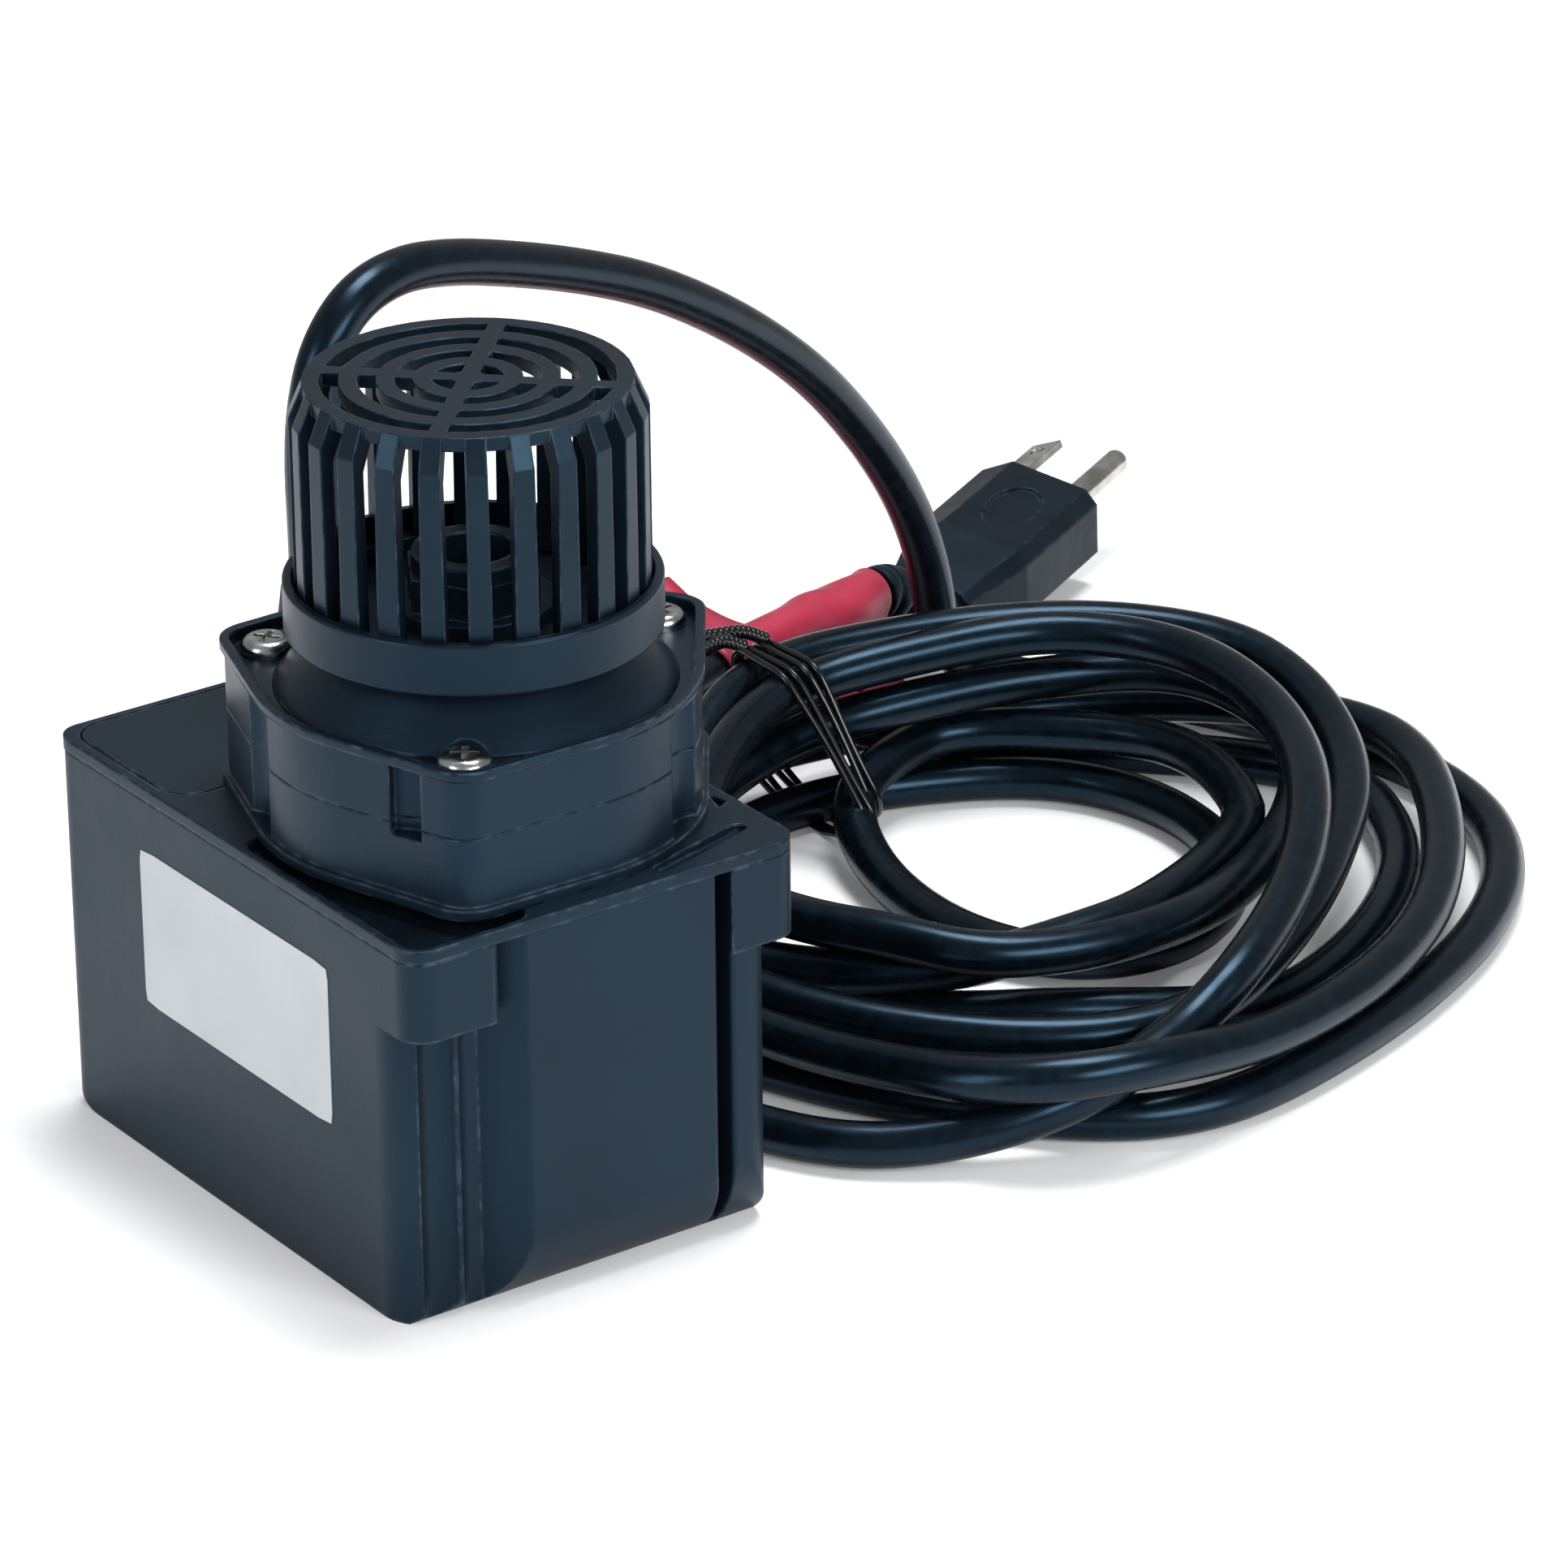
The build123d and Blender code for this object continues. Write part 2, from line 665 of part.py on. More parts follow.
def closed_curve(points):
    """Smooth closed outline through the points."""
    return make_face(Spline(*points, periodic=True))


def cord_coil():
    """Outer shape of the coiled turns, drawn in where they are tied at the back."""
    lower = slab(closed_curve(coil_outer) - closed_curve(coil_inner), coil_z0, coil_step)
    hole = [(x + (x - coil_hole[0]) * coil_drawn, y + (y - coil_hole[1]) * coil_drawn) for x, y in coil_inner]
    upper = slab(closed_curve(coil_upper) - closed_curve(hole), coil_z0 + 1, coil_z1)
    lower = fillet(lower.edges().group_by(Axis.Z)[-1] + lower.edges().group_by(Axis.Z)[0], coil_edge_r)
    upper = fillet(upper.edges().group_by(Axis.Z)[-1], coil_edge_r)
    return lower + upper


def twist_tie(x):
    """Wire loop round the coil, in the plane across X."""
    reach = tie_fit + tie_r
    z0 = coil_z0 - reach
    z1 = coil_z1 + reach
    loop = Pos((tie_y[0] + tie_y[1]) / 2, (z0 + z1) / 2) * RectangleRounded(tie_y[1] - tie_y[0], z1 - z0, coil_edge_r - 1)
    path = (Plane.YZ.offset(x) * loop).face().outer_wire()
    start = Plane(origin=path @ 0, z_dir=path % 0)
    return sweep(start * Circle(tie_r), path=path)


def cord_tag():
    """Folded flag lying on the floor, with its strip looped round the cord."""
    flag = slab(make_face(Polyline(*tag_pts, close=True)), 0, tag_t)
    half = tag_loop_l / 2
    loop_r = cord_r + tag_fit
    run = Vector(*tail_pts[-1]) - Vector(*tail_pts[-2])
    place = Plane(origin=tag_at, x_dir=(0, 0, 1), z_dir=run)
    loop = place * (Cylinder(loop_r + tag_t, tag_loop_l) - Cylinder(loop_r, tag_loop_l + 1))
    under = -loop_r - tag_t / 2
    rise = half * run.Z / math.hypot(run.X, run.Y)
    sheet = make_face(Polyline((-half, -tag_at[2]), (half, -tag_at[2]), (half, under + rise), (-half, under - rise),
                               close=True))
    web = Pos(*tag_at) * Rot(0, 0, tail_turn) * extrude(Plane.XZ * sheet, tag_t / 2, both=True)
    return flag + loop + web


# ---- plug, along its own +X, then laid on the floor ----

place_plug = Pos(*plug_rear) * Rot(0, 0, plug_turn) * Rot(0, -plug_tilt, 0)
place_pins = place_plug * Pos(grip_l + block_l, *pin_at) * Rot(pin_roll, 0, 0)


def lying(r, x0, x1):
    """Cylinder along the plug."""
    return Pos((x0 + x1) / 2, 0, 0) * Rot(0, 90, 0) * Cylinder(r, x1 - x0)


def plug_strain_relief():
    """Ringed boot, bent from the cord's end round to the plug's rear face."""
    start = Vector(*tail_pts[-1])
    end = Vector(*plug_rear)
    inward = (start - Vector(*tail_pts[-2])).normalized()
    ahead = Vector(1, 0, 0).rotate(Axis.Y, -plug_tilt).rotate(Axis.Z, plug_turn)
    bend = Bezier(start, start + inward * relief_pull, end - ahead * relief_pull, end)
    grow = relief_r1 - relief_r0
    ends = [Plane(origin=bend @ 0, z_dir=bend % 0) * Circle(relief_r0),
            Plane(origin=bend @ 1, z_dir=bend % 1) * Circle(relief_r1)]
    boot = sweep(ends, path=bend, multisection=True)
    for ring in range(relief_rings):
        t = (ring + 0.6) / (relief_rings + 0.4)
        groove = Plane(origin=bend @ t, x_dir=(0, 0, 1), z_dir=bend % t)
        boot -= groove * (Cylinder(relief_r1 + 2, 1.6) - Cylinder(relief_r0 + grow * t - 0.9, 2))
    return boot


def plug_outline(scale):
    """Eight-sided section of the plug's body."""
    return Plane.YZ * make_face(Polyline(*[(scale * y, scale * z) for y, z in block_pts], close=True))


def plug_body():
    full = Pos(grip_l, 0, 0) * plug_outline(1)
    body = loft([plug_outline(grip_scale).face(), full.face()]) + extrude(full, block_l)
    (y0, z0), (y1, z1) = block_pts[:2]
    lean = math.degrees(math.atan2(z1 - z0, y1 - y0))
    oval = Pos(grip_l + block_l * 0.47, (y0 + y1) / 2, (z0 + z1) / 2) * Rot(lean, 0, 0) * Pos(0, 0, -oval_deep)
    return place_plug * (body - oval * extrude(Ellipse(oval_l / 2, oval_w / 2), 2 * oval_deep))


def plug_blades():
    """Flat blades, one above the other as the plug lies on its side."""
    blades = []
    for z in (-blade_gap / 2, blade_gap / 2):
        y = pin_drop
        blade = block(0, blade_l, y - blade_w / 2, y + blade_w / 2, z - blade_t / 2, z + blade_t / 2)
        blades.append(blade - Pos(blade_l - 4, y, z) * Cylinder(blade_hole_r, 3 * blade_t))
    return place_pins * Compound(blades)


def ground_pin():
    pin = lying(pin_r, 0, pin_l)
    tip = pin.edges().sort_by(Axis.X)[-1]
    return place_pins * fillet(tip, pin_r * 0.8)


# ---- write the sub-parts ----

write("motor_housing", motor_housing())
write("cover_plate", cover_plate())
write("rear_lid", rear_lid())
write("potting_compound", potting_compound())
write("stator_stack", axis * slab(stack_plan(), stack_z0, stack_z0 + stack_h))
write("coil_bobbin", coil_bobbin())
write("coil_winding", coil_winding())
write("rotor_can", rotor_can())
write("lower_bush", lower_bush())
write("upper_bush", upper_bush())
write("rotor_magnet", rotor_magnet())
write("rotor_shaft", rotor_shaft())
write("impeller", impeller())
write("can_seal", can_seal())
write("volute_base", volute_base())
write("volute_cover", volute_cover())
write("volute_dome", volute_dome())
write("inlet_neck", inlet_neck())
write("discharge_fitting", discharge_fitting())
write("cover_screws", cover_screws())
write("strainer_cup", strainer_cup())
write("strainer_nut", strainer_nut())
write("strainer_cage", strainer_cage())
write("cord_gland", cord_gland())
write("cord_lead", cord_tube(lead_pts, "lead"))
write("cord_coil", cord_coil())
write("cord_tail", cord_tube(tail_pts, "tail"))
write("twist_tie_near", twist_tie(tie_x[0]))
write("twist_tie_far", twist_tie(tie_x[1]))
write("cord_tag", cord_tag())
write("plug_strain_relief", plug_strain_relief())
write("plug_body", plug_body())
write("plug_blades", plug_blades())
write("ground_pin", ground_pin())
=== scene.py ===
import json
import math
import bmesh
import bpy
import numpy as np
from mathutils import Matrix, Vector

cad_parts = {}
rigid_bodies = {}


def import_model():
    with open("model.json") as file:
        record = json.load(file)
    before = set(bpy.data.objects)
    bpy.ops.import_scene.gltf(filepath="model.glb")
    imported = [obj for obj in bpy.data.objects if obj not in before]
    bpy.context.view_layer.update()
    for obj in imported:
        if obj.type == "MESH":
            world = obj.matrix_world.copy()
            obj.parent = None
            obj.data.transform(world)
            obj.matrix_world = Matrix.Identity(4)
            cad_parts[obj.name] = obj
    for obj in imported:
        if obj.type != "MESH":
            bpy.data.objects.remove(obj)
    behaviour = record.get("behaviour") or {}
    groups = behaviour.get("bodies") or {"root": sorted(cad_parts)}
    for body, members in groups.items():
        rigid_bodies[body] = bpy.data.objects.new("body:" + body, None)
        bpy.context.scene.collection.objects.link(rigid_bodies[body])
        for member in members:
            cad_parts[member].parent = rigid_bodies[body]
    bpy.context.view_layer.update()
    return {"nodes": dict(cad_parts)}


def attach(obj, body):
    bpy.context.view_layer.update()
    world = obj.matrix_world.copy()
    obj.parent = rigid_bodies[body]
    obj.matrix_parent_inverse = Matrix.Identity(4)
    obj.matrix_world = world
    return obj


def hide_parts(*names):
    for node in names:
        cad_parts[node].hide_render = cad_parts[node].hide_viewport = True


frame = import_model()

nodes = frame["nodes"]
mm = 0.001
white = "#ffffff"
print("frame loaded:", len(nodes), "nodes")


def linearColour(hexText):  # sRGB hex to the linear values that the shaders want
    parts = [int(hexText[i:i + 2], 16) / 255 for i in (1, 3, 5)]
    return tuple(p / 12.92 if p <= 0.04045 else ((p + 0.055) / 1.055) ** 2.4 for p in parts) + (1.0,)


def addNode(tree, kind, settings=None, inputs=None):  # one node with its settings, values and links
    node = tree.nodes.new("ShaderNode" + kind)
    for name, value in (settings or {}).items():
        setattr(node, name, value)
    for name, value in (inputs or {}).items():
        if isinstance(value, bpy.types.NodeSocket):
            tree.links.new(value, node.inputs[name])
        else:
            node.inputs[name].default_value = value
    return node


def startMaterial(name):
    material = bpy.data.materials.new(name)
    material.use_nodes = True
    tree = material.node_tree
    tree.nodes.clear()
    return material, tree, addNode(tree, "TexCoord").outputs["Object"]


def fadeRamp(tree, factor, low, high, lowColour, highColour):  # blends two colours between two factor values
    node = addNode(tree, "ValToRGB", inputs={"Fac": factor})
    node.color_ramp.elements[0].position = low
    node.color_ramp.elements[0].color = lowColour
    node.color_ramp.elements[1].position = high
    node.color_ramp.elements[1].color = highColour
    return node.outputs["Color"]


def noiseAt(tree, place, size, detail=3.0, rough=0.55, stretch=(1, 1, 1)):  # noise whose grains are size mm
    mapped = addNode(tree, "Mapping", inputs={"Vector": place, "Scale": stretch}).outputs["Vector"]
    return addNode(tree, "TexNoise", inputs={"Vector": mapped, "Scale": 1 / (size * mm), "Detail": detail,
                                             "Roughness": rough}).outputs["Fac"]


def rescale(tree, value, source, target):  # maps the source range of a value onto the target range
    return addNode(tree, "MapRange", inputs={"Value": value, "From Min": source[0], "From Max": source[1],
                                             "To Min": target[0], "To Max": target[1]}).outputs["Result"]


def raised(tree, height, depth, **others):  # normal bumped by a height pattern of the given depth in mm
    sockets = dict({"Height": height, "Distance": depth * mm}, **others)
    return addNode(tree, "Bump", inputs=sockets).outputs["Normal"]


def closeMaterial(tree, shaderInputs):
    shader = addNode(tree, "BsdfPrincipled", inputs=shaderInputs)
    addNode(tree, "OutputMaterial", inputs={"Surface": shader.outputs["BSDF"]})


toneBand = {"plastic": (0.35, 0.68), "other": (0.35, 0.7), "rough": (0.3, 0.7), "cordRough": (0.3, 0.75),
            "dust": (0.45, 0.75)}  # noise values between which a colour or a roughness changes over
wearBand = {"turn": (0.997, 0.93), "scuff": (0.46, 0.75)}  # cosine of the bevel's turn, and noise, from bare to worn


def mouldedPlastic(name, look):
    # moulded plastic: fine spark-eroded grain, broad soft highlights, rounded edges polished pale by handling
    material, tree, place = startMaterial(name)
    rounded = addNode(tree, "Bevel", {"samples": 8}, {"Radius": look["edgeRadius"] * mm}).outputs["Normal"]
    flat = addNode(tree, "NewGeometry").outputs["Normal"]
    turn = addNode(tree, "VectorMath", {"operation": "DOT_PRODUCT"}, {0: rounded, 1: flat}).outputs["Value"]
    patches = noiseAt(tree, place, look["patchSize"])
    wear = rescale(tree, turn, wearBand["turn"], (0.0, 1.0))
    scuffs = rescale(tree, noiseAt(tree, place, look["scuffSize"]), wearBand["scuff"], (0.0, 1.0))
    worn = addNode(tree, "Math", {"operation": "MULTIPLY"}, {0: wear, 1: scuffs}).outputs["Value"]
    body = fadeRamp(tree, patches, *toneBand["plastic"], linearColour(look["dark"]), linearColour(look["light"]))
    edge = addNode(tree, "Mix", {"data_type": "RGBA"}, {"Factor": worn, 6: body,
                                                        7: linearColour(look["worn"])}).outputs[2]
    grain = noiseAt(tree, place, look["grainSize"], 2.0)
    orange = noiseAt(tree, place, look["rippleSize"], 1.0)
    ripple = raised(tree, orange, look["rippleDepth"], Strength=1.0, Normal=rounded)
    bumped = raised(tree, grain, look["grainDepth"], Strength=look["grainStrength"], Normal=ripple)
    rough = rescale(tree, patches, toneBand["rough"], look["rough"])
    closeMaterial(tree, {"Base Color": edge, "Roughness": rough, "Normal": bumped, "IOR": look["ior"],
                         "Specular Tint": linearColour(look["sheenTint"]), "Specular IOR Level": look["specular"]})
    return material


housingLook = {"dark": "#0d161f", "light": "#141f2a", "worn": "#47535e", "rough": (0.36, 0.48), "ior": 1.5,
               "sheenTint": "#8fc0e2", "specular": 0.45,
               "edgeRadius": 0.9, "patchSize": 38, "scuffSize": 3.0, "grainSize": 0.55, "grainDepth": 0.05,
               "grainStrength": 0.5, "rippleSize": 7.0, "rippleDepth": 0.05}
strainerLook = dict(housingLook, dark="#0b131b", light="#121c25", rough=(0.30, 0.40), edgeRadius=0.45,
                    grainSize=0.4, grainDepth=0.03, patchSize=20)
volutePlastic = dict(housingLook, rough=(0.26, 0.38), edgeRadius=0.8)
plugLook = {"dark": "#0a1016", "light": "#10181f", "worn": "#333e47", "rough": (0.42, 0.55), "ior": 1.5,
            "sheenTint": "#8fb6d6", "specular": 0.3,
            "edgeRadius": 1.3, "patchSize": 12, "scuffSize": 2.0, "grainSize": 0.35, "grainDepth": 0.03,
            "grainStrength": 0.5, "rippleSize": 4.0, "rippleDepth": 0.06}
mouldedHousing = mouldedPlastic("mouldedHousingPlastic", housingLook)
mouldedStrainer = mouldedPlastic("mouldedStrainerPlastic", strainerLook)
mouldedVolute = mouldedPlastic("mouldedVolutePlastic", volutePlastic)
mouldedPlug = mouldedPlastic("mouldedPlugVinyl", plugLook)


def castPotting(look):
    # potting epoxy poured into the tub: wet gloss, shallow shrink waves, duller in small patches
    material, tree, place = startMaterial("castPottingEpoxy")
    wave = noiseAt(tree, place, look["waveSize"], 1.5)
    dust = noiseAt(tree, place, look["dustSize"], 2.0)
    tone = fadeRamp(tree, wave, *toneBand["other"], linearColour(look["dark"]), linearColour(look["light"]))
    rough = rescale(tree, dust, toneBand["dust"], look["rough"])
    bumped = raised(tree, wave, look["waveDepth"])
    closeMaterial(tree, {"Base Color": tone, "Roughness": rough, "Normal": bumped, "IOR": look["ior"],
                         "Specular Tint": linearColour(look["sheenTint"])})
    return material


pottingEpoxy = castPotting({"dark": "#080d12", "light": "#0c141b", "sheenTint": "#9cbcd8", "waveSize": 9.0,
                            "dustSize": 1.4, "waveDepth": 0.35, "rough": (0.08, 0.24), "ior": 1.52})


def extrudedCord(look):
    # extruded flexible vinyl: skin gloss with long highlights, faint bulges of the twisted cores below
    material, tree, place = startMaterial("extrudedCordVinyl")
    bulge = noiseAt(tree, place, look["bulgeSize"], 1.0)
    haze = noiseAt(tree, place, look["hazeSize"], 3.0)
    tone = fadeRamp(tree, haze, *toneBand["other"], linearColour(look["dark"]), linearColour(look["light"]))
    rough = rescale(tree, haze, toneBand["cordRough"], look["rough"])
    bumped = raised(tree, bulge, look["bulgeDepth"])
    closeMaterial(tree, {"Base Color": tone, "Roughness": rough, "Normal": bumped, "IOR": look["ior"],
                         "Specular Tint": linearColour(look["sheenTint"])})
    return material


cordVinyl = extrudedCord({"dark": "#04080c", "light": "#081017", "sheenTint": "#8abade", "bulgeSize": 14.0,
                          "bulgeDepth": 0.12, "hazeSize": 3.0, "rough": (0.24, 0.30), "ior": 1.5})


patternStrength = 0.6  # share of the full bump in metals and small polymer parts


def turnedMetal(name, look):
    # metal: smooth satin with fine drawn scratches along one direction and a few duller finger spots
    material, tree, place = startMaterial(name)
    scratch = noiseAt(tree, place, look["scratchSize"], 2.0, 0.6, look["stretch"])
    spots = noiseAt(tree, place, look["spotSize"], 2.0)
    tone = fadeRamp(tree, spots, *toneBand["other"], linearColour(look["dark"]), linearColour(look["light"]))
    rough = rescale(tree, spots, toneBand["rough"], look["rough"])
    rounded = addNode(tree, "Bevel", {"samples": 6}, {"Radius": look["edgeRadius"] * mm}).outputs["Normal"]
    bumped = raised(tree, scratch, look["scratchDepth"], Strength=patternStrength, Normal=rounded)
    closeMaterial(tree, {"Base Color": tone, "Metallic": 1.0, "Roughness": rough, "Normal": bumped})
    return material


stainless = turnedMetal("rolledStainlessSteel", {"dark": "#a9abac", "light": "#d2d3d2", "rough": (0.16, 0.3),
                                                 "scratchSize": 0.4, "stretch": (1, 1, 0.2), "spotSize": 2.5,
                                                 "scratchDepth": 0.01, "edgeRadius": 0.2})
nickelPlate = turnedMetal("nickelPlatedBrass", {"dark": "#b3b0a8", "light": "#d9d7d0", "rough": (0.16, 0.28),
                                                "scratchSize": 0.5, "stretch": (0.3, 1, 1), "spotSize": 5.0,
                                                "scratchDepth": 0.012, "edgeRadius": 0.25})
laminationSteel = turnedMetal("stampedLaminationSteel", {"dark": "#5d5f62", "light": "#8a8c8e",
                                                         "rough": (0.35, 0.5), "scratchSize": 0.6,
                                                         "stretch": (0.2, 0.2, 1.6), "spotSize": 6.0,
                                                         "scratchDepth": 0.05, "edgeRadius": 0.1})
enamelledCopper = turnedMetal("woundEnamelledCopper", {"dark": "#9a4f2c", "light": "#c77545",
                                                       "rough": (0.22, 0.34), "scratchSize": 0.7,
                                                       "stretch": (0.3, 0.3, 2.0), "spotSize": 4.0,
                                                       "scratchDepth": 0.12, "edgeRadius": 0.3})


def plainPolymer(name, look):
    # small moulded or pressed insert: even colour with a light mottle and a fine tooth
    material, tree, place = startMaterial(name)
    mottle = noiseAt(tree, place, look["mottleSize"])
    tooth = noiseAt(tree, place, look["toothSize"], 2.0)
    tone = fadeRamp(tree, mottle, *toneBand["other"], linearColour(look["dark"]), linearColour(look["light"]))
    bumped = raised(tree, tooth, look["toothDepth"], Strength=patternStrength)
    closeMaterial(tree, {"Base Color": tone, "Roughness": look["rough"], "Normal": bumped, "IOR": look["ior"]})
    return material


bobbinNylon = plainPolymer("mouldedBobbinNylon", {"dark": "#cfc8b4", "light": "#e3ddcb", "mottleSize": 9,
                                                  "toothSize": 0.5, "toothDepth": 0.03, "rough": 0.45, "ior": 1.53})
bushAcetal = plainPolymer("turnedBushAcetal", {"dark": "#d9d8d2", "light": "#edece6", "mottleSize": 5,
                                               "toothSize": 0.3, "toothDepth": 0.02, "rough": 0.38, "ior": 1.48})
pressedFerrite = plainPolymer("pressedFerrite", {"dark": "#2b2b2d", "light": "#3a3a3c", "mottleSize": 4,
                                                 "toothSize": 0.35, "toothDepth": 0.05, "rough": 0.6, "ior": 1.6})
sealRubber = plainPolymer("mouldedNitrileRubber", {"dark": "#161616", "light": "#1f1f1f", "mottleSize": 3,
                                                   "toothSize": 0.4, "toothDepth": 0.02, "rough": 0.5, "ior": 1.52})
tieVinyl = plainPolymer("extrudedTieVinyl", {"dark": "#06080a", "light": "#0b0f13", "mottleSize": 4,
                                             "toothSize": 0.4, "toothDepth": 0.02, "rough": 0.24, "ior": 1.53})
tagVinyl = plainPolymer("calenderedTagVinyl", {"dark": "#a3223c", "light": "#b52d49", "mottleSize": 14,
                                               "toothSize": 0.8, "toothDepth": 0.04, "rough": 0.42, "ior": 1.53})
labelFilm = plainPolymer("printedPolyesterLabel", {"dark": "#b5babd", "light": "#c1c5c8", "mottleSize": 22,
                                                   "toothSize": 0.5, "toothDepth": 0.012, "rough": 0.36,
                                                   "ior": 1.5})
print("materials made")

finishes = {"motor_housing": mouldedHousing, "cover_plate": mouldedHousing, "rear_lid": mouldedHousing,
            "potting_compound": pottingEpoxy, "stator_stack": laminationSteel, "coil_bobbin": bobbinNylon,
            "coil_winding": enamelledCopper, "rotor_can": mouldedHousing, "lower_bush": bushAcetal,
            "upper_bush": bushAcetal, "rotor_magnet": pressedFerrite, "rotor_shaft": stainless,
            "impeller": mouldedVolute, "can_seal": sealRubber, "volute_base": mouldedVolute,
            "volute_cover": mouldedVolute, "volute_dome": mouldedVolute, "inlet_neck": mouldedVolute,
            "discharge_fitting": mouldedVolute,
            "cover_screws": stainless, "strainer_cup": mouldedStrainer, "strainer_nut": mouldedStrainer,
            "strainer_cage": mouldedStrainer, "cord_gland": mouldedPlug, "cord_lead": cordVinyl,
            "cord_coil": cordVinyl, "cord_tail": cordVinyl, "twist_tie_near": tieVinyl,
            "twist_tie_far": tieVinyl, "cord_tag": tagVinyl, "plug_strain_relief": mouldedPlug,
            "plug_body": mouldedPlug, "plug_blades": nickelPlate, "ground_pin": nickelPlate}


def dress(thing, material):
    if len(thing.data.materials) == 0:
        thing.data.materials.append(material)
    for place in range(len(thing.data.materials)):
        thing.data.materials[place] = material
    return thing


for name, thing in nodes.items():
    dress(thing, finishes[name])
print("nodes dressed:", len(nodes))


def gridMesh(name, points, closeU=False, closeV=False, material=None, smooth=True):
    # points is an array (u, v, 3) in metres; quads join neighbours, and the last row joins the first if closed
    rows, columns = points.shape[:2]
    ids = np.arange(rows * columns).reshape(rows, columns)
    if closeU:
        ids = np.vstack([ids, ids[:1]])
    if closeV:
        ids = np.hstack([ids, ids[:, :1]])
    quads = np.stack([ids[:-1, :-1], ids[1:, :-1], ids[1:, 1:], ids[:-1, 1:]], -1).reshape(-1, 4)
    mesh = bpy.data.meshes.new(name)
    mesh.from_pydata(points.reshape(-1, 3).tolist(), [], quads.tolist())
    mesh.polygons.foreach_set("use_smooth", np.full(len(quads), smooth))
    thing = bpy.data.objects.new(name, mesh)
    bpy.context.collection.objects.link(thing)
    if material:
        dress(thing, material)
    return thing


def smoothLine(points, steps):  # Catmull-Rom curve: each span blends its four nearest points by cubic weights
    p = np.asarray(points, float)
    p = np.vstack([2 * p[0] - p[1], p, 2 * p[-1] - p[-2]])
    t = np.linspace(0, 1, steps, endpoint=False)[None, :, None]
    a, b, c, d = (p[i:len(p) - 3 + i, None, :] for i in range(4))
    line = 0.5 * (2 * b + (c - a) * t + (2 * a - 5 * b + 4 * c - d) * t ** 2 + (3 * b - a - 3 * c + d) * t ** 3)
    return np.vstack([line.reshape(-1, p.shape[1]), p[-2:-1]])


def carryProfile(path, profile, twist=None, closed=False):
    # profile (v, 2) carried along path (u, 3): point = path + side * profile.x + up * profile.y, with the frame
    # carried without twist from the start, then turned by the twist angle
    path = np.asarray(path, float)
    if closed:
        ahead = np.roll(path, -1, 0) - np.roll(path, 1, 0)
    else:
        ahead = np.gradient(path, axis=0)
    ahead /= np.linalg.norm(ahead, axis=1)[:, None]
    seed = np.array([0.0, 0.0, 1.0]) if abs(ahead[0, 2]) < 0.9 else np.array([1.0, 0.0, 0.0])
    side = np.empty_like(path)
    side[0] = np.cross(seed, ahead[0])
    side[0] /= np.linalg.norm(side[0])
    for i in range(1, len(path)):
        s = side[i - 1] - ahead[i] * (side[i - 1] @ ahead[i])
        side[i] = s / np.linalg.norm(s)
    up = np.cross(ahead, side)
    if twist is not None:
        c, s = np.cos(twist)[:, None], np.sin(twist)[:, None]
        side, up = side * c + up * s, up * c - side * s
    return path[:, None, :] + side[:, None, :] * profile[None, :, :1] + up[:, None, :] * profile[None, :, 1:2]


capSizes = (0.55, 0.0)  # sizes of the two rings that round off an open end, as shares of the tube's own
weldGap = {"points": 0.00001, "edges": 0.000001}  # metres


def capEnds(points):  # closes an open tube by drawing its first and last rings into their middles
    first, last = points[0].mean(0), points[-1].mean(0)
    shrink = np.array(capSizes)[:, None, None]
    start = first + (points[:1] - first) * shrink[::-1]
    end = last + (points[-1:] - last) * shrink
    return np.concatenate([start, points, end])


def ring(radius, count):  # circle
    angle = np.linspace(0, 2 * math.pi, count, endpoint=False)
    return np.stack([radius * np.cos(angle), radius * np.sin(angle)], -1)


def welded(thing):  # merges the doubled points of caps, and turns all faces outwards
    work = bmesh.new()
    work.from_mesh(thing.data)
    bmesh.ops.remove_doubles(work, verts=work.verts, dist=weldGap["points"])
    bmesh.ops.dissolve_degenerate(work, edges=work.edges, dist=weldGap["edges"])
    bmesh.ops.recalc_face_normals(work, faces=work.faces)
    work.to_mesh(thing.data)
    work.free()
    return thing


